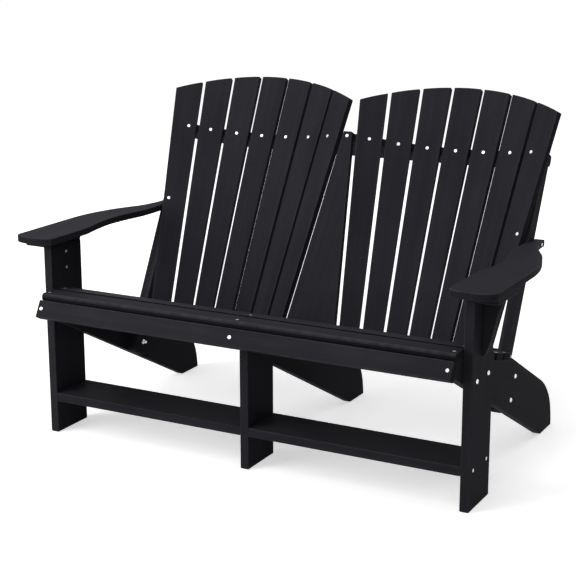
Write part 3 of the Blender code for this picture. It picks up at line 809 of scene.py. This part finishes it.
def nutPattern(values):
    # Hexagonal, its corners turned off at both faces; the last ring closes on the first
    flat, tall, hole = values["acrossFlats"] / 2, values["tall"], values["hole"]
    chamfer, half = values["chamfer"], values["chamfer"] / 2
    steps = (
        # radius, height, and whether the ring is six-sided
        (hole + half, 0, False), (flat, 0, False), (flat, chamfer, True),
        (flat, tall - chamfer, True), (flat, tall, False), (hole + half, tall, False),
        (hole, tall - half, False), (hole, half, False))
    shape, edges = circleShape(values["sides"], hole)
    bmesh.ops.translate(shape, verts=shape.verts, vec=(0, 0, half))
    for radius, z, isHex in steps:
        edges = grownRings(shape, edges, [(radius, z)])
        if isHex:
            for vert in {vert for edge in edges for vert in edge.verts}:
                wider = hexReach(vert)
                vert.co.x *= wider
                vert.co.y *= wider
    bmesh.ops.remove_doubles(shape, verts=shape.verts, dist=values["weld"])
    bmesh.ops.recalc_face_normals(shape, faces=shape.faces)
    return meshFrom("nutPattern", shape)


def seatPlace(low, high, tall, facing):
    # A bolt's head faces out of the bench (1), a nut on the board's outer side faces into it (-1)
    centre = (low + high) / 2
    side = -1 if centre.x < 0 else 1
    seat = (low.x if side < 0 else high.x) - side * tall
    return standing(Vector((seat, centre.y, centre.z)), Vector((side * facing, 0, 0)))


for name in sorted(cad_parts):
    if name.endswith("_bolt"):
        low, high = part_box(name)
        bolt = boltPattern(boltValues, high.x - low.x - boltValues["tall"])
        place = seatPlace(low, high, boltValues["tall"], 1)
        placedFasteners(name + "_turned", bolt, [place], (name,))
    if name.endswith("_nut"):
        low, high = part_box(name)
        place = seatPlace(low, high, 0, -1)
        placedFasteners(name + "_hexagonal", nutPattern(nutValues), [place], (name,))
print("fasteners placed")


# Floor, light and background

studioValues = {
    "floorSize": 200.0,
    "floorBounce": (0.50, 0.50, 0.50, 1),
    "floorSeen": (1.0, 1.0, 1.0, 1),
    "floorGlow": 0.55,
    "glowNear": 1.3,      # metres from the bench at which the floor begins to fade to pure white
    "glowFar": 3.2,
    "worldStrength": 0.02,
    "lightSize": 2.6,
    "lightAway": 4.6,
    "aim": (0, 0, 0.45),
}
# Soft boxes round the bench: degrees round from the front (left is minus), degrees up, and power
softBoxes = {
    "frontHigh": (0, 60, 30),
    "frontLeftLow": (-40, 15, 106),
    "frontLeftHigh": (-45, 45, 39),
    "leftHigh": (-80, 55, 3),
    "top": (0, 89, 61),
    "backLeftHigh": (-135, 45, 12),
    "backHigh": (180, 50, 6),
    "backRightHigh": (135, 45, 34),
    "rightFront": (25, 22, 34),
}


def softBox(name, turn, up, power, values):
    data = bpy.data.lights.new(name, "AREA")
    data.shape = "SQUARE"
    data.size = values["lightSize"]
    data.energy = power
    light = bpy.data.objects.new(name, data)
    around, above = math.radians(turn), math.radians(up)
    level = math.cos(above)
    way = Vector((math.sin(around) * level, -math.cos(around) * level, math.sin(above)))
    light.location = Vector(values["aim"]) + way * values["lightAway"]
    light.rotation_euler = (-way).to_track_quat("-Z", "Y").to_euler()
    scene.collection.objects.link(light)


def seenNode(tree):
    # 1 where the camera looks, by itself or by way of metal or glass, and 0 for light on the bench
    path = addNode(tree, "ShaderNodeLightPath").outputs
    seen = added(tree, path["Is Camera Ray"], path["Is Glossy Ray"])
    return added(tree, seen, path["Is Transmission Ray"], True)


def makeWorld(values):
    world = bpy.data.worlds.new("studioWorld")
    scene.world = world
    world.use_nodes = True
    tree = world.node_tree
    fillInputs(tree, tree.nodes["Background"], {
        "Color": (1, 1, 1, 1),
        "Strength": rangeNode(tree, seenNode(tree), (0.0, 1.0), (values["worldStrength"], 1.0))})


def floorMaterial(values):
    made, tree, shader = newMaterial("paleFloor")
    seen = seenNode(tree)
    place = addNode(tree, "ShaderNodeTexCoord").outputs["Object"]
    away = addNode(tree, "ShaderNodeVectorMath", {0: place}, operation="LENGTH").outputs["Value"]
    glow = rangeNode(
        tree, away, (values["glowNear"], values["glowFar"]), (values["floorGlow"], 1.0))
    fillInputs(tree, shader, {
        "Base Color": mixColour(tree, seen, values["floorBounce"], values["floorSeen"]),
        "Roughness": 1.0, "Specular IOR Level": 0.0,
        "Emission Color": (1, 1, 1, 1), "Emission Strength": multiplied(tree, seen, glow)})
    return made


def makeFloor(values):
    shape = bmesh.new()
    bmesh.ops.create_grid(shape, x_segments=1, y_segments=1, size=values["floorSize"] / 2)
    floor = addPiece("studioFloor", shape, floorMaterial(values))


makeWorld(studioValues)
makeFloor(studioValues)
for name, (turn, up, power) in softBoxes.items():
    softBox(name, turn, up, power, studioValues)
print("studio lit")
